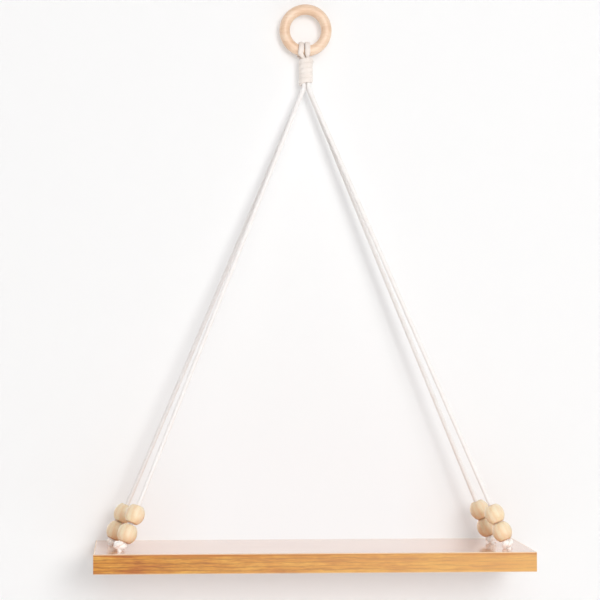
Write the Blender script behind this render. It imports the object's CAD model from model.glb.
"""Looks of the hanging rope shelf. Metres, +Z up, the front towards -Y and the wall at +Y.
The cords, their knots, the ring and the beads are made here from the same sizes as the
CAD source. The board and its edge bands are the CAD's own, with wood materials."""

import math

import bpy
import numpy as np
from mathutils import Matrix, Quaternion, Vector


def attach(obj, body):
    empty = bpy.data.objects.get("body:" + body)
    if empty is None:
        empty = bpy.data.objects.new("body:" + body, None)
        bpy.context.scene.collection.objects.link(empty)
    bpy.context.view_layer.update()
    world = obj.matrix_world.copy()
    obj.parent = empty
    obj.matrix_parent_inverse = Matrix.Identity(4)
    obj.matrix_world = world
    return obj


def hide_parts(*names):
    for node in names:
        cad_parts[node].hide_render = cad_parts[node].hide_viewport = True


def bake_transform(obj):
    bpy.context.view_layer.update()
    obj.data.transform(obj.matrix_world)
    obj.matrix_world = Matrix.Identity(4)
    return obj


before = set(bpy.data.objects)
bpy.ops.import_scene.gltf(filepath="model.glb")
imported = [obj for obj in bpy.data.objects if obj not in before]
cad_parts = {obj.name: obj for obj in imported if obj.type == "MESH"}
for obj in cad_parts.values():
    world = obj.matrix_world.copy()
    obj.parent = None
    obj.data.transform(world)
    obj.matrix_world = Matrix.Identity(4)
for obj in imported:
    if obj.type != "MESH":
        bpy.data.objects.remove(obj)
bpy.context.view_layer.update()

# Camera, from the photograph, with its lens and sensor in millimetres
CAMERA_PLACE = (-0.1599, -1.9038, -0.3)
CAMERA_TURN = math.radians(2.917)
CAMERA_PITCH = math.radians(0.814)
CAMERA_ROLL = math.radians(-0.029)
CAMERA_LENS = 120
CAMERA_SENSOR = 36
CAMERA_SHIFT_SHARE = 0.1
CLIP_START = 0.05
CLIP_END = 30

# Ring
RING_OUTER_DIAMETER = 0.050
RING_SECTION = 0.010
RING_STEPS = 160
RING_SECTION_STEPS = 40

# Cord
CORD_DIAMETER = 0.004
RUNNING_GAP = 0.0003
BRAID_CELLS = 6
BRAID_PITCH = 0.013
BRAID_DEPTH_SHARE = 0.13
BRAID_ACROSS_POWER = 0.6
BRAID_LENGTHWAYS_POWER = 0.35
CORD_SIDES = 24
CORD_STEP = 0.0005
CURVE_SAMPLES = 40

# Cords folded over the ring
STRAND_SPACING = 0.0056
STRAND_SHIFT = -0.0013
STRAND_FOOT_SPACING = 0.0066
STRAND_FOOT_SHIFT = -0.0019
STRAND_GAP = 0.0009
STRAND_TOP_GAP = 0.001
STRAND_WIDTH = 0.0054
STRAND_DEPTH = 0.0032
SQUEEZED_DIAMETER = 0.0026
SQUEEZE_START = 0.002
SQUEEZE_DROP = 0.009

# Gathering wrap: its turns in the CAD, and the height and depth that they are pressed to here
WRAP_TURNS = 4.6
WRAP_START_TURN = 0.3
WRAP_PITCH = 0.0048
WRAP_TURN_HEIGHT = 0.0043
WRAP_TURN_DEPTH = 0.003
WRAP_DROP = 0.0015
WRAP_TAIL = 0.004
WRAP_STEPS_PER_TURN = 72
WRAP_PRESSED_HEIGHT = 0.0053
WRAP_PRESSED_DEPTH = 0.0032
WRAP_SQUARENESS = 3.4

# Board and its holes
BOARD_LENGTH = 0.400
BOARD_DEPTH = 0.120
BOARD_THICKNESS = 0.018
BOARD_DROP = 0.502
WALL_DISTANCE = 0.010
HOLE_SIDE_INSETS = {"left_front": 0.024, "left_back": 0.014, "right_front": 0.020, "right_back": 0.026}
HOLE_FRONT_INSET = 0.026
HOLE_BACK_INSET = 0.042
RECESS_DEPTH = 0.0092

# Legs
LEG_FULL_DIAMETER = 0.0043
LEG_SPREAD = 0.00215
LEG_LEAD = 0.0015
LEG_BEND = 0.009
LEG_BEND_POINTS = 9
SWAY_GAP = 0.0008
LEG_TUCK = 0.006
LEG_KNOT_OVERLAP = 0.001

# Knots, with their turns and tilts in degrees
KNOT_CORD_DIAMETER = 0.0033
KNOT_RING_RADIUS = 0.003
KNOT_TUBE_RADIUS = 0.0016
KNOT_NARROW_SHARE = 0.65
KNOT_TURNS = {"left_front": 0, "left_back": 60, "right_front": 80, "right_back": 20}
STOP_KNOT_SHARES = {"left_front": 1, "left_back": 0.7, "right_front": 1, "right_back": 0.9}
STOP_KNOT_ASIDE = {"left_front": (-0.0022, 0, 0.0008)}
STOP_KNOT_TILTS = {"left_front": -15}
KNOT_END_OFFSET = 0.0012
KNOT_LEAD = 0.0024
KNOT_PRESSED_DIAMETER = 0.0044
KNOT_STEPS = 24
HOLE_LEAD = 0.003
TAIL_LENGTH = 0.0016

# Beads
BEAD_DIAMETER = 0.018
BEAD_LENGTH = 0.017
BEAD_END_DIAMETER = 0.0096
BEAD_BORE = 0.005
BEAD_ARRIS = 0.0005
BEAD_STEPS = 72
BEAD_SIDE_STEPS = 28
SNAGGED_BEAD = "bead_left_front_upper"
SNAGGED_BEAD_GAP = 0.0016

# Length and width of each wood's figure, and the spacing of its growth lines
BEAD_FIGURE = (0.014, 0.004)
BEAD_LINE_SPACING = 0.0011
RING_FIGURE = (0.03, 0.007)
RING_LINE_SPACING = 0.003
TOP_FIGURE = (0.11, 0.012)
TOP_LINE_SPACING = 0.006
BAND_FIGURE = (0.045, 0.005)
BAND_LINE_SPACING = 0.0034

# Grain of all woods: its noises, where in them a mark starts and ends, and its bump
FIGURE_NOISE = {"Detail": 4, "Roughness": 0.6}
FIGURE_AT = (0.34, 0.5, 0.64)
LINE_LENGTH_SHARE = 0.5
LINE_WAVE = {"Distortion": 7, "Detail": 4, "Detail_Scale": 1.6, "Detail_Roughness": 0.6}
LINES_AT = (0, 0.34)
FINE_LENGTH_SHARE = 0.25
FINE_SPACING_SHARE = 1 / 3
FINE_NOISE = {"Detail": 6, "Roughness": 0.65}
FINE_LINES_AT = (0.3, 0.65)
PORE_SPACING_SHARE = 0.25
PORE_NOISE = {"Detail": 3, "Roughness": 0.5}
PORES_AT = (0.6, 0.75)
PORE_SHARE = 0.6
WARM_GREEN_POWER = 1.5
WARM_BLUE_POWER = 2.2
DULLEST_SHARE = 1.4
GRAIN_BUMP = {"Distance": 0.0001, "Strength": 0.3}
LIGHT_DEPTH = 0.003
LIGHT_DEPTH_SHARES = (1, 0.5, 0.25)
FADE_SHARE = 0.6

# Worn edges of the bands and the dark streak under the upper one, from the board's faces
WORN_TOP_SHARE = 0.75
WORN_TOP_START = 0.0009
WORN_TOP_FULL = 0.0005
WORN_BOTTOM_SHARE = 0.5
WORN_BOTTOM_START = 0.001
WORN_BOTTOM_FULL = 0.0004
STREAK_START = 0.004
STREAK_FULL = 0.0015
STREAK_SHARES = (0.5, 0.15)
STREAK_AT = (0.4, 0.6)

# Drilled ends of the beads, from the flat ends
LOW_END_SHARE = 0.6
LOW_END_FADE = 0.00125
HIGH_END_SHARE = 0.2
HIGH_END_FADE = 0.001

# Cotton: fibres, stretched round the cord and along it in its UV map, and uneven patches
FIBRE_STRETCH = (90, 14, 1)
FIBRE_NOISE = {"Detail": 5, "Roughness": 0.7}
FIBRES_AT = (0.25, 0.75)
FIBRE_SHADE = 0.94
FIBRE_BUMP = {"Distance": 0.0002, "Strength": 0.4}
PATCH_SIZE = 0.00625
PATCH_NOISE = {"Detail": 3, "Roughness": 0.55}
PATCHES_AT = (0.3, 0.7)

# Wall, floor and lamps
WALL_GAP = 0.0003
WALL_HALF_SIZE = 3.0
FLOOR_Z = -1.2
WALL_GLOW_SHARE = 0.26
BOARD_GLOW_SHARE = 0.5
BOARD_GLOW_HALF_WIDTH = 0.17
BOARD_GLOW_HEIGHT = 0.2
BOARD_GLOW_FADE = 0.08
FLOOR_GLOW_SHARE = 0.6
LAMP_AIM = (0.0, 0.0, -0.3)
KEY_PLACE = (0.68, -3.05, 0.25)
KEY_SIZE = 1.0
KEY_POWER = 36
SOFT_PLACE = (0.25, -3.05, 1.0)
SOFT_SIZE = 2.6
SOFT_POWER = 30.5
BACK_PLACE = (-0.8, 1.8, -0.1)
BACK_SIZE = 1.2
BACK_POWER = 12
WORLD_STRENGTH = 0.34
WORLD_COLOUR = (1, 0.975, 0.98, 1)

# Worked out from the sizes above. The head leans forwards, as the legs do below it.
RING_RADIUS = (RING_OUTER_DIAMETER - RING_SECTION) / 2
RING_BORE = RING_RADIUS - RING_SECTION / 2
HEAD_Z = -RING_BORE - RING_RADIUS
BOARD_BACK = WALL_DISTANCE
BOARD_FRONT = BOARD_BACK - BOARD_DEPTH
BOARD_TOP = -BOARD_DROP
BOARD_BOTTOM = BOARD_TOP - BOARD_THICKNESS
FRONT_HOLE_Y = BOARD_FRONT + HOLE_FRONT_INSET
BACK_HOLE_Y = BOARD_BACK - HOLE_BACK_INSET
KNOT_HEIGHT = 2 * KNOT_TUBE_RADIUS + KNOT_CORD_DIAMETER
HEAD_LEAN = math.atan2(-(FRONT_HOLE_Y + BACK_HOLE_Y) / 2, HEAD_Z - BOARD_TOP)
WRAP_TOP = -RING_SECTION / 2 - WRAP_DROP
STRAND_PITCH = SQUEEZED_DIAMETER + RUNNING_GAP
WRAP_BORE = math.sqrt(0.5) * STRAND_PITCH + SQUEEZED_DIAMETER / 2 + RUNNING_GAP
WRAP_RADIUS = WRAP_BORE + WRAP_TURN_DEPTH / 2
WRAP_SLOPE = WRAP_PITCH / (2 * math.pi * WRAP_RADIUS)
WRAP_BOTTOM = WRAP_TOP - WRAP_TURN_HEIGHT - WRAP_TURNS * WRAP_PITCH - 2 * WRAP_TAIL * WRAP_SLOPE

# A wave texture of this scale has one wave in each unit
WAVE_UNIT_SCALE = math.pi / 10

# A direction that no cord starts along
OFF_AXIS = (1, 0.2, 0)

UP = Vector((0, 0, 1))
HEAD = Matrix.Translation((0, 0, HEAD_Z)) @ Matrix.Rotation(-HEAD_LEAN, 4, "X")


# Shapes

def add_mesh(name, points, faces, uvs, finish):
    """A smooth mesh object with one UV pair for each corner of each face"""
    mesh = bpy.data.meshes.new(name)
    mesh.from_pydata([tuple(point) for point in points], [], faces)
    mesh.polygons.foreach_set("use_smooth", [True] * len(mesh.polygons))
    layer = mesh.uv_layers.new(name="UVMap")
    layer.data.foreach_set("uv", np.array(uvs, float).ravel())
    mesh.materials.append(finish)
    mesh.validate()
    piece = bpy.data.objects.new(name, mesh)
    bpy.context.scene.collection.objects.link(piece)
    return piece


def grid_faces(rows, columns):
    """Four-cornered faces between the rows of points, closed round the columns"""
    faces = []
    uvs = []
    for row in range(rows - 1):
        for column in range(columns):
            after = (column + 1) % columns
            faces.append((
                row * columns + column,
                row * columns + after,
                (row + 1) * columns + after,
                (row + 1) * columns + column,
            ))
            uvs += unit_square(column, row)
    return faces, uvs


def unit_square(column, row):
    """The UV pairs of one face"""
    return [(column, row), (column + 1, row), (column + 1, row + 1), (column, row + 1)]


def spline(points, step):
    """Even points, about one step apart, on the centripetal Catmull-Rom curve through the points"""
    given = [np.array(point, float) for point in points]
    ends = [2 * given[0] - given[1], *given, 2 * given[-1] - given[-2]]
    shares = np.linspace(0, 1, CURVE_SAMPLES, endpoint=False)[:, None]
    fine = []
    for before, start, stop, after in zip(ends, ends[1:], ends[2:], ends[3:]):
        first = np.linalg.norm(start - before) ** 0.5
        middle = np.linalg.norm(stop - start) ** 0.5
        last = np.linalg.norm(after - stop) ** 0.5
        leave = (start - before) / first - (stop - before) / (first + middle) + (stop - start) / middle
        reach = (stop - start) / middle - (after - start) / (middle + last) + (after - stop) / last
        leave *= middle
        reach *= middle
        square = 3 * (stop - start) - 2 * leave - reach
        cube = 2 * (start - stop) + leave + reach
        fine.append(start + leave * shares + square * shares**2 + cube * shares**3)
    return even(np.vstack([*fine, given[-1:]]), step)


def even(points, step):
    """The same route with its points about one step apart"""
    lengths = lengths_along(points)
    wanted = np.linspace(0, lengths[-1], max(2, round(lengths[-1] / step) + 1))
    return np.column_stack([np.interp(wanted, lengths, points[:, axis]) for axis in range(3)])


def lengths_along(points):
    """How far along its route each point lies"""
    return np.concatenate([[0], np.cumsum(np.linalg.norm(np.diff(points, axis=0), axis=1))])


def smoothstep(values, low, high):
    """0 up to low, 1 from high on, and a soft rise between them"""
    share = np.clip((np.asarray(values, float) - low) / (high - low), 0, 1)
    return share * share * (3 - 2 * share)


def braid_heights(lengths, angles):
    """1 on the middle of each strand of a round braid and 0 in the valleys between them"""
    around = BRAID_CELLS * angles[None, :] / (2 * math.pi)
    along = BRAID_CELLS * lengths[:, None] / BRAID_PITCH
    right = around + along
    left = around - along
    right_round = np.sin(math.pi * (right % 1))
    left_round = np.sin(math.pi * (left % 1))
    right_over = (np.floor(right) + np.floor(left)) % 2 == 0
    across = np.where(right_over, right_round, left_round)
    lengthways = np.where(right_over, left_round, right_round)
    across_height = np.clip(across, 0, 1) ** BRAID_ACROSS_POWER
    lengthways_height = np.clip(lengthways, 0, 1) ** BRAID_LENGTHWAYS_POWER
    return across_height * lengthways_height


def cord_mesh(name, centres, widths, depths, finish, across=None, squareness=2):
    """A braided cord along its centres. Across is the direction of its width. Without it
    the cord takes over its direction from point to point, so it doesn't twist. Squareness
    is 2 for a round or oval section and more for one that is pressed flat on its sides."""
    tangents = np.gradient(centres, axis=0)
    tangents /= np.linalg.norm(tangents, axis=1)[:, None]
    sides = cord_sides(tangents, across)
    outs = np.cross(tangents, sides)
    lengths = lengths_along(centres)
    angles = 2 * math.pi * np.arange(CORD_SIDES) / CORD_SIDES
    shrink = 1 - BRAID_DEPTH_SHARE * (1 - braid_heights(lengths, angles))
    half_widths = np.broadcast_to(widths, len(centres)) / 2
    half_depths = np.broadcast_to(depths, len(centres)) / 2
    level = np.sign(np.cos(angles)) * np.abs(np.cos(angles)) ** (2 / squareness)
    upright = np.sign(np.sin(angles)) * np.abs(np.sin(angles)) ** (2 / squareness)
    reach_side = shrink * half_widths[:, None] * level[None, :]
    reach_out = shrink * half_depths[:, None] * upright[None, :]
    points = (
        centres[:, None, :]
        + reach_side[:, :, None] * sides[:, None, :]
        + reach_out[:, :, None] * outs[:, None, :]
    ).reshape(-1, 3)
    faces, uvs = grid_faces(len(centres), CORD_SIDES)
    ends = [(0, 1), (len(centres) - 1, -1)]
    for row, order in ends:
        rim = [row * CORD_SIDES + corner for corner in range(CORD_SIDES)]
        faces.append(tuple(rim[::-1] if order > 0 else rim))
        uvs += [(corner, row) for corner in range(CORD_SIDES)]
    scale = np.array([1 / CORD_SIDES, lengths[1] / (math.pi * CORD_DIAMETER)])
    return add_mesh(name, points, faces, np.array(uvs) * scale, finish)


def cord_sides(tangents, across):
    """The direction of a cord's width at each point, square to the cord"""
    side = np.array(across if across is not None else np.cross(tangents[0], OFF_AXIS), float)
    sides = []
    for tangent in tangents:
        side = side - tangent * side.dot(tangent)
        side /= np.linalg.norm(side)
        sides.append(side)
        if across is not None:
            side = np.array(across, float)
    return np.array(sides)


def turned_mesh(name, outline, steps, finish):
    """A closed outline of (radius, height) points turned round the Z axis"""
    angles = 2 * math.pi * np.arange(steps) / steps
    rows = [
        [(radius * math.cos(angle), radius * math.sin(angle), height) for angle in angles]
        for radius, height in outline
    ]
    points = [point for row in rows for point in row]
    faces, uvs = grid_faces(len(rows), steps)
    last = (len(rows) - 1) * steps
    for column in range(steps):
        after = (column + 1) % steps
        faces.append((last + column, last + after, after, column))
        uvs += unit_square(column, len(rows) - 1)
    return add_mesh(name, points, faces, np.array(uvs) / [steps, len(rows)], finish)


# Materials

def link(owner, source, target):
    owner.node_tree.links.new(source, target)


def set_values(node, **values):
    """Gives the values to the node's settings or input sockets of these names"""
    for name, value in values.items():
        socket = name.replace("_", " ")
        if hasattr(node, name):
            setattr(node, name, value)
        elif socket in node.inputs:
            node.inputs[socket].default_value = value
        else:
            raise KeyError(f"{node.name} has no {name}")


def new_node(owner, kind, **values):
    """A node of a material or of the world"""
    node = owner.node_tree.nodes.new(kind)
    set_values(node, **values)
    return node


def srgb(red, green, blue):
    """The linear colour of an 8-bit screen colour, by the formula of the sRGB standard"""
    def linear(value):
        share = value / 255
        return share / 12.92 if share <= 0.04045 else ((share + 0.055) / 1.055) ** 2.4
    return (linear(red), linear(green), linear(blue), 1)


def warm_shade(red):
    """A multiplying colour that takes more from green than from red and most from blue"""
    return (red, red**WARM_GREEN_POWER, red**WARM_BLUE_POWER, 1)


def new_material(name):
    material = bpy.data.materials.new(name)
    material.use_nodes = True
    return material, material.node_tree.nodes["Principled BSDF"]


def stretched(material, source, stretch, kind, **settings):
    """A texture whose features are 1 / stretch long in each direction of its source"""
    mapping = new_node(material, "ShaderNodeMapping", Scale=stretch)
    link(material, source, mapping.inputs["Vector"])
    texture = new_node(material, kind, **settings)
    link(material, mapping.outputs["Vector"], texture.inputs["Vector"])
    return texture.outputs["Fac"]


def stretched_noise(material, source, stretch, settings):
    """Noise with one feature in each unit before it is stretched"""
    return stretched(material, source, stretch, "ShaderNodeTexNoise", Scale=1, **settings)


def colour_steps(material, source, places, colours):
    """A colour for each place on the scale of the source, and blends between them"""
    ramp = new_node(material, "ShaderNodeValToRGB")
    steps = list(zip(places, colours))
    elements = ramp.color_ramp.elements
    elements[0].position, elements[0].color = steps[0]
    elements[1].position, elements[1].color = steps[-1]
    for position, colour in steps[1:-1]:
        elements.new(position).color = colour
    link(material, source, ramp.inputs["Fac"])
    return ramp.outputs["Color"]


def mixed(material, share, first, second, blend_type="MIX"):
    """A colour mix. Its sockets 0, 6 and 7 are the share and the colours, and 2 is the result."""
    mix = new_node(material, "ShaderNodeMix", data_type="RGBA", blend_type=blend_type)
    if isinstance(share, (int, float)):
        mix.inputs[0].default_value = share
    else:
        link(material, share, mix.inputs[0])
    link(material, first, mix.inputs[6])
    if isinstance(second, tuple):
        mix.inputs[7].default_value = second
    else:
        link(material, second, mix.inputs[7])
    return mix.outputs[2]


def darkened(material, colour, source, places, share):
    """The colour with a warm shade on it that fades as the source rises between two places"""
    shade = colour_steps(material, source, places, (warm_shade(1 - share), warm_shade(1)))
    return mixed(material, 1.0, colour, shade, "MULTIPLY")


def ranged(material, source, low, high, from_low=0.0, from_high=1.0):
    """Low where the source is at from_low or less, and high where it is at from_high or more"""
    node = new_node(
        material, "ShaderNodeMapRange", From_Min=from_low, From_Max=from_high, To_Min=low, To_Max=high,
    )
    link(material, source, node.inputs["Value"])
    return node.outputs["Result"]


def two_numbers(material, operation, first, second):
    node = new_node(material, "ShaderNodeMath", operation=operation)
    link(material, first, node.inputs[0])
    link(material, second, node.inputs[1])
    return node.outputs[0]


def greatest(material, first, second):
    return two_numbers(material, "MAXIMUM", first, second)


def product(material, first, second):
    return two_numbers(material, "MULTIPLY", first, second)


def shader_mix(owner, share, first, second):
    """The first shader, with a share of the second in its place"""
    mix = new_node(owner, "ShaderNodeMixShader")
    link(owner, share, mix.inputs["Fac"])
    link(owner, first.outputs[0], mix.inputs[1])
    link(owner, second.outputs[0], mix.inputs[2])
    return mix


def bumped(material, source, settings, shader):
    bump = new_node(material, "ShaderNodeBump", **settings)
    link(material, source, bump.inputs["Height"])
    link(material, bump.outputs["Normal"], shader.inputs["Normal"])


def worn_edges(material, colour, height, figure, dark, worn):
    """Worn along the board's top and bottom, with a dark streak under the upper edge"""
    below_edge = ranged(material, height, 0, 1, BOARD_TOP - STREAK_START, BOARD_TOP - STREAK_FULL)
    streak = product(material, below_edge, ranged(material, figure, *STREAK_SHARES, *STREAK_AT))
    colour = mixed(material, streak, colour, dark)
    top = ranged(
        material, height, 0, WORN_TOP_SHARE, BOARD_TOP - WORN_TOP_START, BOARD_TOP - WORN_TOP_FULL,
    )
    bottom = ranged(
        material, height, WORN_BOTTOM_SHARE, 0,
        BOARD_BOTTOM + WORN_BOTTOM_FULL, BOARD_BOTTOM + WORN_BOTTOM_START,
    )
    return mixed(material, greatest(material, top, bottom), colour, worn)


def drilled_ends(material, colour, height, ends):
    """A bead's colour with more of another at its lower end and less of it at its upper end"""
    half = BEAD_LENGTH / 2
    low = ranged(material, height, LOW_END_SHARE, 0, BEAD_ARRIS - half, LOW_END_FADE - half)
    high = ranged(material, height, 0, HIGH_END_SHARE, half - HIGH_END_FADE, half)
    return mixed(material, greatest(material, low, high), colour, ends)


def wood(
    name, shades, along, across, figure_size, line_spacing, line_share, roughness, coat_share,
    coat_roughness, fade=None, glow_share=0, worn=None, ends=None,
):
    """Wood whose grain runs along one axis and whose growth lines follow each other across
    another. Shades are the pale, middle, dark and pore colours. A fade is the colour that
    the wood turns to at the right end of the board. The glow is light that gets into it.
    Worn is the colour of the rounded edges along the board's top and bottom. Ends is the
    colour of the drilled ends of a bead."""
    pale, middle, dark, pore = shades
    length, width = figure_size
    material, shader = new_material(name)
    place = new_node(material, "ShaderNodeTexCoord").outputs["Object"]
    split = new_node(material, "ShaderNodeSeparateXYZ")
    link(material, place, split.inputs[0])

    def stretch(along_size, across_size):
        return tuple(1 / along_size if axis == along else 1 / across_size for axis in "XYZ")

    figure = stretched_noise(material, place, stretch(length, width), FIGURE_NOISE)
    colour = colour_steps(material, figure, FIGURE_AT, (dark, middle, pale))
    lines = stretched(
        material, place, stretch(LINE_LENGTH_SHARE * length, line_spacing), "ShaderNodeTexWave",
        bands_direction=across, Scale=WAVE_UNIT_SCALE, **LINE_WAVE,
    )
    colour = darkened(material, colour, lines, LINES_AT, line_share)
    fine_length = FINE_LENGTH_SHARE * length
    fine_stretch = stretch(fine_length, FINE_SPACING_SHARE * line_spacing)
    fine = stretched_noise(material, place, fine_stretch, FINE_NOISE)
    colour = darkened(material, colour, fine, FINE_LINES_AT, line_share)
    pore_stretch = stretch(fine_length, PORE_SPACING_SHARE * line_spacing)
    pores = stretched_noise(material, place, pore_stretch, PORE_NOISE)
    pore_share = ranged(material, pores, 0, PORE_SHARE, *PORES_AT)
    colour = mixed(material, pore_share, colour, pore)
    if fade is not None:
        board_ends = (-BOARD_LENGTH / 2, BOARD_LENGTH / 2)
        end_share = ranged(material, split.outputs["X"], 0, FADE_SHARE, *board_ends)
        colour = mixed(material, end_share, colour, fade)
    if worn is not None:
        colour = worn_edges(material, colour, split.outputs["Z"], figure, dark, worn)
    if ends is not None:
        colour = drilled_ends(material, colour, split.outputs["Z"], ends)
    link(material, colour, shader.inputs["Base Color"])
    dullness = ranged(material, fine, roughness, DULLEST_SHARE * roughness)
    link(material, dullness, shader.inputs["Roughness"])
    bumped(material, ranged(material, pore_share, 1, 0), GRAIN_BUMP, shader)
    set_values(shader, Subsurface_Weight=glow_share, Subsurface_Scale=LIGHT_DEPTH)
    set_values(shader, Subsurface_Radius=LIGHT_DEPTH_SHARES)
    set_values(shader, Coat_Weight=coat_share, Coat_Roughness=coat_roughness)
    return material


def bead_wood():
    shades = (srgb(252, 237, 208), srgb(250, 229, 195), srgb(246, 217, 177), srgb(235, 199, 156))
    return wood(
        "bead_beech", shades, "Z", "X", BEAD_FIGURE, BEAD_LINE_SPACING, line_share=0.03,
        roughness=0.42, coat_share=0.15, coat_roughness=0.35, glow_share=0.15,
        ends=srgb(186, 124, 78),
    )


def ring_wood():
    shades = (srgb(244, 219, 194), srgb(240, 209, 181), srgb(232, 197, 166), srgb(214, 172, 139))
    return wood(
        "ring_beech", shades, "X", "Y", RING_FIGURE, RING_LINE_SPACING, line_share=0.025,
        roughness=0.36, coat_share=0.12, coat_roughness=0.3,
    )


def board_wood():
    shades = (srgb(246, 200, 168), srgb(238, 182, 148), srgb(222, 158, 124), srgb(190, 120, 92))
    return wood(
        "oak_laminate", shades, "X", "Y", TOP_FIGURE, TOP_LINE_SPACING, line_share=0.1,
        roughness=0.18, coat_share=1, coat_roughness=0.13,
    )


def band_wood(name, along, fade=None):
    shades = (srgb(231, 174, 76), srgb(217, 148, 52), srgb(191, 110, 38), srgb(148, 76, 34))
    return wood(
        name, shades, along, "Z", BAND_FIGURE, BAND_LINE_SPACING, line_share=0.3,
        roughness=0.32, coat_share=0.15, coat_roughness=0.3, fade=fade, worn=srgb(246, 222, 188),
    )


def cotton(name, dark, pale, glow_share=0):
    """Loose cotton: fibres that run with the braid, a soft bloom and a little unevenness.
    The glow is the light that comes through a loose knot."""
    material, shader = new_material(name)
    coordinates = new_node(material, "ShaderNodeTexCoord")
    fibres = stretched_noise(material, coordinates.outputs["UV"], FIBRE_STRETCH, FIBRE_NOISE)
    patch_stretch = (1 / PATCH_SIZE, 1 / PATCH_SIZE, 1 / PATCH_SIZE)
    patches = stretched_noise(material, coordinates.outputs["Object"], patch_stretch, PATCH_NOISE)
    colour = colour_steps(material, patches, PATCHES_AT, (dark, pale))
    shade = ranged(material, fibres, FIBRE_SHADE, 1, *FIBRES_AT)
    link(material, mixed(material, 1.0, colour, shade, "MULTIPLY"), shader.inputs["Base Color"])
    set_values(shader, Roughness=0.92, Specular_IOR_Level=0.2)
    set_values(shader, Sheen_Weight=0.5, Sheen_Roughness=0.6)
    set_values(shader, Emission_Color=pale, Emission_Strength=glow_share)
    bumped(material, fibres, FIBRE_BUMP, shader)
    return material


# Camera

def make_camera():
    """The photograph's camera"""
    data = bpy.data.cameras.new("camera")
    data.sensor_width = CAMERA_SENSOR
    data.lens = CAMERA_LENS
    data.shift_x = CAMERA_SHIFT_SHARE
    data.clip_start = CLIP_START
    data.clip_end = CLIP_END
    camera = bpy.data.objects.new("camera", data)
    turn = Matrix.Rotation(-CAMERA_TURN, 4, "Z")
    pitch = Matrix.Rotation(math.pi / 2 + CAMERA_PITCH, 4, "X")
    roll = Matrix.Rotation(CAMERA_ROLL, 4, "Z")
    camera.matrix_world = Matrix.Translation(CAMERA_PLACE) @ turn @ pitch @ roll
    bpy.context.scene.collection.objects.link(camera)
    bpy.context.scene.camera = camera


# Cords

def in_shelf(matrix, points):
    """A piece's own points in the shelf's frame"""
    return np.array([matrix @ Vector(point) for point in points])


def beside_ring(across, reach, degrees):
    """A point in front of the ring's section, so many degrees above its middle"""
    angle = math.radians(degrees)
    return (across, -reach * math.cos(angle), reach * math.sin(angle))


def make_loop(side_name, side, finish):
    """One cord folded over the ring's lower side, flat on the ring and squeezed in the wrap"""
    reach = (RING_SECTION + STRAND_DEPTH) / 2 + STRAND_GAP
    top_reach = (RING_SECTION + STRAND_DEPTH) / 2 + STRAND_TOP_GAP
    top = STRAND_SHIFT + side * STRAND_SPACING / 2
    foot = STRAND_FOOT_SHIFT + side * STRAND_FOOT_SPACING / 2
    narrow = side * STRAND_PITCH / 2
    half = [
        beside_ring(top, top_reach, 90),
        beside_ring(top, top_reach, 45),
        beside_ring((top + foot) / 2, reach, 0),
        beside_ring(foot, reach, -30),
        beside_ring((foot + 2 * narrow) / 3, reach, -60),
        (narrow, -STRAND_PITCH / 2, -SQUEEZE_DROP),
        (narrow, -STRAND_PITCH / 2, (WRAP_BOTTOM - SQUEEZE_DROP) / 2),
        (narrow, -STRAND_PITCH / 2, WRAP_BOTTOM),
    ]
    back = [(x, -y, z) for x, y, z in half[1:]]
    centres = spline([*reversed(half), *back], CORD_STEP)
    fall = smoothstep(-centres[:, 2], SQUEEZE_START, SQUEEZE_DROP)
    widths = STRAND_WIDTH + (SQUEEZED_DIAMETER - STRAND_WIDTH) * fall
    depths = STRAND_DEPTH + (SQUEEZED_DIAMETER - STRAND_DEPTH) * fall
    route = in_shelf(HEAD, centres)
    across = HEAD.to_3x3() @ Vector((1, 0, 0))
    loop = cord_mesh(f"cotton_loop_{side_name}", route, widths, depths, finish, across)
    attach(loop, "head")
    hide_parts(f"cord_loop_{side_name}")


def make_wrap(finish):
    """The gathering wrap: one flattened cord wound round the strands, with straight ends"""
    first_z = WRAP_TOP - WRAP_TURN_HEIGHT / 2 - WRAP_TAIL * WRAP_SLOPE
    steps = round(WRAP_TURNS * WRAP_STEPS_PER_TURN)
    turns = np.linspace(WRAP_START_TURN, WRAP_START_TURN + WRAP_TURNS, steps + 1)
    angles = math.pi / 2 - 2 * math.pi * turns
    heights = first_z - WRAP_PITCH * (turns - WRAP_START_TURN)
    centres = np.column_stack([WRAP_RADIUS * np.cos(angles), WRAP_RADIUS * np.sin(angles), heights])
    tail_steps = round(WRAP_TAIL / CORD_STEP)
    start_way = np.array([math.sin(angles[0]), -math.cos(angles[0]), -WRAP_SLOPE])
    end_way = np.array([math.sin(angles[-1]), -math.cos(angles[-1]), -WRAP_SLOPE])
    reaches = CORD_STEP * np.arange(1, tail_steps + 1)[:, None]
    before = centres[0] - start_way * reaches[::-1]
    after = centres[-1] + end_way * reaches
    route = in_shelf(HEAD, np.vstack([before, centres, after]))
    across = HEAD.to_3x3() @ UP
    wrap = cord_mesh(
        "cotton_wrap", route, WRAP_PRESSED_HEIGHT, WRAP_PRESSED_DEPTH, finish, across, WRAP_SQUARENESS,
    )
    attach(wrap, "head")
    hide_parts("gathering_wrap")


def knot_route(top_end, bottom_end, size_share):
    """An overhand knot pulled into a ball: a trefoil opened where it runs down the middle"""
    winding = []
    for step in range(1, KNOT_STEPS):
        share = step / KNOT_STEPS
        turn = math.pi + 2 * math.pi * share
        reach = KNOT_RING_RADIUS + KNOT_TUBE_RADIUS * math.cos(3 * turn)
        offset = KNOT_END_OFFSET * math.cos(math.pi * share)
        winding.append(size_share * Vector((
            reach * math.cos(2 * turn),
            KNOT_NARROW_SHARE * (reach * math.sin(2 * turn) + offset),
            KNOT_TUBE_RADIUS * math.sin(3 * turn),
        )))
    neck = size_share * KNOT_HEIGHT / 2 * UP
    return spline([top_end, neck, *winding, -neck, bottom_end], CORD_STEP)


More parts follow.
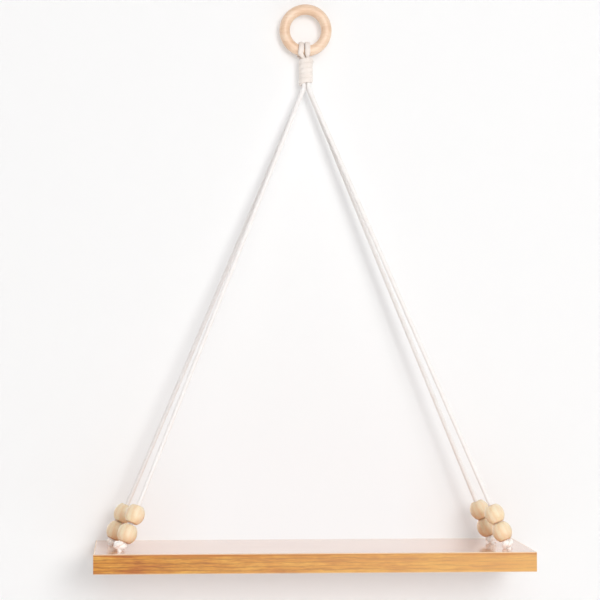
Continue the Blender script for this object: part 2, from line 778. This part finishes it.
def make_knot(name, node, centre, up, turn, top_end, bottom_end, finish, size_share=1):
    """A knot whose leads run to the two ends, and which is pressed thicker between them"""
    spin = Quaternion(UP, math.radians(turn))
    stand = UP.rotation_difference(up) @ spin
    matrix = Matrix.Translation(centre) @ stand.to_matrix().to_4x4()
    inverse = matrix.inverted()
    centres = knot_route(inverse @ top_end, inverse @ bottom_end, size_share)
    from_neck = np.abs(centres[:, 2]) - size_share * KNOT_HEIGHT / 2
    swell = smoothstep(from_neck, -KNOT_TUBE_RADIUS, 0)
    pressed = size_share * KNOT_PRESSED_DIAMETER
    diameters = pressed + (CORD_DIAMETER - pressed) * swell
    knot = cord_mesh(name, in_shelf(matrix, centres), diameters, diameters, finish)
    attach(knot, "hanger")
    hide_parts(node)
    return knot


def stop_knot_heights(corner, up):
    """How far up its leg a stop knot has its middle and its top, when it rests on the board"""
    lean = up.angle(UP)
    fall = KNOT_RING_RADIUS * math.sin(lean) + KNOT_TUBE_RADIUS * math.cos(lean)
    size_share = STOP_KNOT_SHARES[corner]
    middle = (RUNNING_GAP + size_share * (fall + KNOT_CORD_DIAMETER / 2)) / math.cos(lean)
    return middle, middle + size_share * KNOT_HEIGHT / 2


def make_stop_knot(corner, hole, up, middle, top, finish):
    """The knot on the board, with leads into the leg and into the hole"""
    aside = Vector(STOP_KNOT_ASIDE.get(corner, (0, 0, 0)))
    tilt = Matrix.Rotation(math.radians(STOP_KNOT_TILTS.get(corner, 0)), 3, "Y")
    return make_knot(
        f"cotton_stop_knot_{corner}", f"stop_knot_{corner}", hole + up * middle + aside, tilt @ up,
        KNOT_TURNS[corner], hole + up * (top + KNOT_LEAD), hole - UP * HOLE_LEAD, finish,
        STOP_KNOT_SHARES[corner],
    )


def make_carrying_knot(corner, hole, finish):
    """The knot in the recess under the board, with a lead into the hole and a short tail"""
    centre_z = BOARD_BOTTOM + RECESS_DEPTH - RUNNING_GAP - KNOT_HEIGHT / 2
    centre = Vector((hole.x, hole.y, centre_z))
    make_knot(
        f"cotton_carrying_knot_{corner}", f"carrying_knot_{corner}", centre, UP, KNOT_TURNS[corner],
        hole - UP * (HOLE_LEAD + RUNNING_GAP), centre - UP * (KNOT_HEIGHT / 2 + TAIL_LENGTH), finish,
    )


def leg_route(tuck, start, bend, hole, end):
    """Out of the wrap, round a soft bend and straight down to the stop knot"""
    after_bend = bend.lerp(hole, LEG_BEND / (bend - hole).length)
    shares = np.linspace(0, 1, LEG_BEND_POINTS)
    curve = [start.lerp(bend, share).lerp(bend.lerp(after_bend, share), share) for share in shares]
    upper = spline([tuck, start - (bend - start), *curve], CORD_STEP)
    straight = even(np.array([after_bend, end]), CORD_STEP)
    return even(np.vstack([upper, straight[1:]]), CORD_STEP)


def make_leg(corner, side, depth_side, hole_y, cord_finish, knot_finish, bead_finish):
    """One leg from inside the wrap to its stop knot, the two knots and the two beads"""
    start = HEAD @ Vector((side * LEG_SPREAD, depth_side * LEG_SPREAD, WRAP_BOTTOM - SWAY_GAP))
    down = HEAD.to_3x3() @ -UP
    bend = start + down * LEG_LEAD
    hole = Vector((side * (BOARD_LENGTH / 2 - HOLE_SIDE_INSETS[corner]), hole_y, BOARD_TOP))
    up = (bend - hole).normalized()
    knot_middle, knot_top = stop_knot_heights(corner, up)

    tuck_place = STRAND_PITCH / 2
    tuck = HEAD @ Vector((side * tuck_place, depth_side * tuck_place, WRAP_BOTTOM + LEG_TUCK))
    centres = leg_route(tuck, start, bend, hole, hole + up * (knot_top - LEG_KNOT_OVERLAP))
    swell = smoothstep(lengths_along(centres), 0, LEG_TUCK)
    diameters = SQUEEZED_DIAMETER + (LEG_FULL_DIAMETER - SQUEEZED_DIAMETER) * swell
    leg = cord_mesh(f"cotton_leg_{corner}", centres, diameters, diameters, cord_finish)
    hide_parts(f"cord_leg_{corner}")
    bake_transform(leg)

    stop_knot = make_stop_knot(corner, hole, up, knot_middle, knot_top, knot_finish)
    make_carrying_knot(corner, hole, knot_finish)
    make_beads(corner, hole, up, knot_top, bead_finish)


# Beads and ring

def bead_outline():
    """The closed outline of a barrel with flat ends, broken edges and a bore"""
    half = BEAD_LENGTH / 2
    bulge = half / math.sqrt(1 - (BEAD_END_DIAMETER / BEAD_DIAMETER) ** 2)
    rise = np.linspace(-1, 1, BEAD_SIDE_STEPS + 1) * (half - BEAD_ARRIS / 2)
    side = [(BEAD_DIAMETER / 2 * math.sqrt(1 - (z / bulge) ** 2), z) for z in rise]
    bore = BEAD_BORE / 2
    rim = BEAD_END_DIAMETER / 2 - BEAD_ARRIS / 2
    return [
        (bore, BEAD_ARRIS / 2 - half),
        (bore + BEAD_ARRIS / 2, -half),
        (rim, -half),
        *side,
        (rim, half),
        (bore + BEAD_ARRIS / 2, half),
        (bore, half - BEAD_ARRIS / 2),
    ]


def make_beads(corner, hole, up, knot_top, finish):
    """Two beads on one leg, the lower one on its stop knot"""
    stand = UP.rotation_difference(up).to_matrix().to_4x4()
    seat = knot_top
    for level in ("lower", "upper"):
        node = f"bead_{corner}_{level}"
        seat += SNAGGED_BEAD_GAP if node == SNAGGED_BEAD else RUNNING_GAP
        bead = turned_mesh(f"turned_{node}", bead_outline(), BEAD_STEPS, finish)
        bead.matrix_world = Matrix.Translation(hole + up * (seat + BEAD_LENGTH / 2)) @ stand
        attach(bead, node)
        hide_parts(node)
        seat += BEAD_LENGTH


def make_ring(finish):
    """The ring, upright, with the top of its opening at the origin, where the hook carries it"""
    angles = 2 * math.pi * np.arange(RING_SECTION_STEPS) / RING_SECTION_STEPS
    outline = [
        (RING_RADIUS + RING_SECTION / 2 * math.cos(angle), RING_SECTION / 2 * math.sin(angle))
        for angle in angles
    ]
    ring = turned_mesh("turned_ring", outline, RING_STEPS, finish)
    ring.matrix_world = Matrix.Translation((0, 0, -RING_BORE)) @ Matrix.Rotation(math.pi / 2, 4, "X")
    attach(ring, "ring")
    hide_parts("ring")


def dress(node, material):
    """Gives a CAD node its material in every slot"""
    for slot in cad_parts[node].material_slots:
        slot.material = material


# Stage

def add_plane(name, corners, material):
    """A flat part of the stage"""
    mesh = bpy.data.meshes.new(name)
    mesh.from_pydata(corners, [], [(0, 1, 2, 3)])
    mesh.materials.append(material)
    plane = bpy.data.objects.new(name, mesh)
    bpy.context.scene.collection.objects.link(plane)


def clear_from(material, share, surface):
    """Makes a share of the surface clear"""
    clear = new_node(material, "ShaderNodeBsdfTransparent")
    mix = shader_mix(material, share, surface, clear)
    output = material.node_tree.nodes["Material Output"]
    link(material, mix.outputs[0], output.inputs["Surface"])


def wall_glow_share(material):
    """More just above the board, which keeps the low light off the wall there"""
    place = new_node(material, "ShaderNodeTexCoord").outputs["Object"]
    split = new_node(material, "ShaderNodeSeparateXYZ")
    link(material, place, split.inputs[0])
    width = BOARD_GLOW_HALF_WIDTH
    inner = width - BOARD_GLOW_FADE
    top = BOARD_TOP + BOARD_GLOW_HEIGHT
    from_left = ranged(material, split.outputs["X"], 0, 1, -width, -inner)
    from_right = ranged(material, split.outputs["X"], 1, 0, inner, width)
    across = product(material, from_left, from_right)
    from_top = ranged(material, split.outputs["Z"], 1, 0, BOARD_TOP + BOARD_GLOW_FADE / 2, top)
    from_board = ranged(material, split.outputs["Z"], 0, 1, BOARD_BOTTOM, BOARD_TOP)
    share = product(material, across, product(material, from_top, from_board))
    return ranged(material, share, WALL_GLOW_SHARE, WALL_GLOW_SHARE + BOARD_GLOW_SHARE)


def wall_material():
    """White wall, clear from behind and to the light that comes from behind it. To the
    camera and in reflections a share of it is plain white, which lightens its shadows."""
    material, shader = new_material("wall_white")
    set_values(shader, Base_Color=srgb(244, 245, 245), Roughness=1, Specular_IOR_Level=0)
    path = new_node(material, "ShaderNodeLightPath")
    seen = greatest(material, path.outputs["Is Camera Ray"], path.outputs["Is Glossy Ray"])
    glow = new_node(material, "ShaderNodeEmission", Color=srgb(253, 251, 251), Strength=1)
    glow_share = product(material, seen, wall_glow_share(material))
    lit = shader_mix(material, glow_share, shader, glow)
    behind = new_node(material, "ShaderNodeNewGeometry").outputs["Backfacing"]
    clear_from(material, greatest(material, behind, path.outputs["Is Shadow Ray"]), lit)
    return material


def floor_material():
    """Pale floor, clear from below. To the camera a share of it is plain pale, as the lamps
    stand low."""
    material, shader = new_material("floor_pale")
    pale = srgb(246, 244, 242)
    set_values(shader, Base_Color=pale, Roughness=1)
    path = new_node(material, "ShaderNodeLightPath")
    glow = new_node(material, "ShaderNodeEmission", Color=pale, Strength=1)
    glow_share = ranged(material, path.outputs["Is Camera Ray"], 0, FLOOR_GLOW_SHARE)
    lit = shader_mix(material, glow_share, shader, glow)
    behind = new_node(material, "ShaderNodeNewGeometry").outputs["Backfacing"]
    clear_from(material, behind, lit)
    return material


def area_lamp(name, place, aim, size, power):
    data = bpy.data.lights.new(name, "AREA")
    data.shape = "DISK"
    data.size = size
    data.energy = power
    lamp = bpy.data.objects.new(name, data)
    lamp.location = place
    lamp.rotation_mode = "QUATERNION"
    lamp.rotation_quaternion = (Vector(aim) - Vector(place)).to_track_quat("-Z", "Y")
    bpy.context.scene.collection.objects.link(lamp)


def make_stage():
    half = WALL_HALF_SIZE
    wall_y = BOARD_BACK + WALL_GAP
    wall = [(x, wall_y, z) for x, z in ((-half, FLOOR_Z), (half, FLOOR_Z), (half, half), (-half, half))]
    add_plane("wall", wall, wall_material())
    floor = [(x, y, FLOOR_Z) for x, y in ((-half, -half), (half, -half), (half, half), (-half, half))]
    add_plane("floor", floor, floor_material())
    area_lamp("key_lamp", KEY_PLACE, LAMP_AIM, KEY_SIZE, KEY_POWER)
    area_lamp("soft_lamp", SOFT_PLACE, LAMP_AIM, SOFT_SIZE, SOFT_POWER)
    area_lamp("back_lamp", BACK_PLACE, LAMP_AIM, BACK_SIZE, BACK_POWER)


def make_world():
    """Even white light, and plain white wherever the camera sees past the stage"""
    world = bpy.data.worlds.new("studio")
    world.use_nodes = True
    light = world.node_tree.nodes["Background"]
    set_values(light, Color=WORLD_COLOUR, Strength=WORLD_STRENGTH)
    seen = new_node(world, "ShaderNodeBackground", Color=(1, 1, 1, 1), Strength=1)
    path = new_node(world, "ShaderNodeLightPath")
    mix = shader_mix(world, path.outputs["Is Camera Ray"], light, seen)
    link(world, mix.outputs[0], world.node_tree.nodes["World Output"].inputs["Surface"])
    bpy.context.scene.world = world


# The scene

make_camera()
bpy.context.scene.view_settings.view_transform = "Standard"

leg_cotton = cotton("leg_cotton", srgb(251, 246, 243), srgb(254, 252, 250))
knot_cotton = cotton("knot_cotton", srgb(251, 247, 241), srgb(254, 253, 249), glow_share=0.14)
head_cotton = cotton("head_cotton", srgb(245, 234, 225), srgb(251, 243, 236))
bead_finish = bead_wood()
for side_name, side in (("left", -1), ("right", 1)):
    make_loop(side_name, side, head_cotton)
    for depth_name, depth_side, hole_y in (("front", -1, FRONT_HOLE_Y), ("back", 1, BACK_HOLE_Y)):
        corner = f"{side_name}_{depth_name}"
        make_leg(corner, side, depth_side, hole_y, leg_cotton, knot_cotton, bead_finish)
make_wrap(head_cotton)
make_ring(ring_wood())

dress("board", board_wood())
long_band_finish = band_wood("oak_band", "X", fade=srgb(235, 184, 112))
end_band_finish = band_wood("oak_end_band", "Y")
for side_name in ("front", "back"):
    dress(f"{side_name}_edge_band", long_band_finish)
for side_name in ("left", "right"):
    dress(f"{side_name}_edge_band", end_band_finish)

make_stage()
make_world()
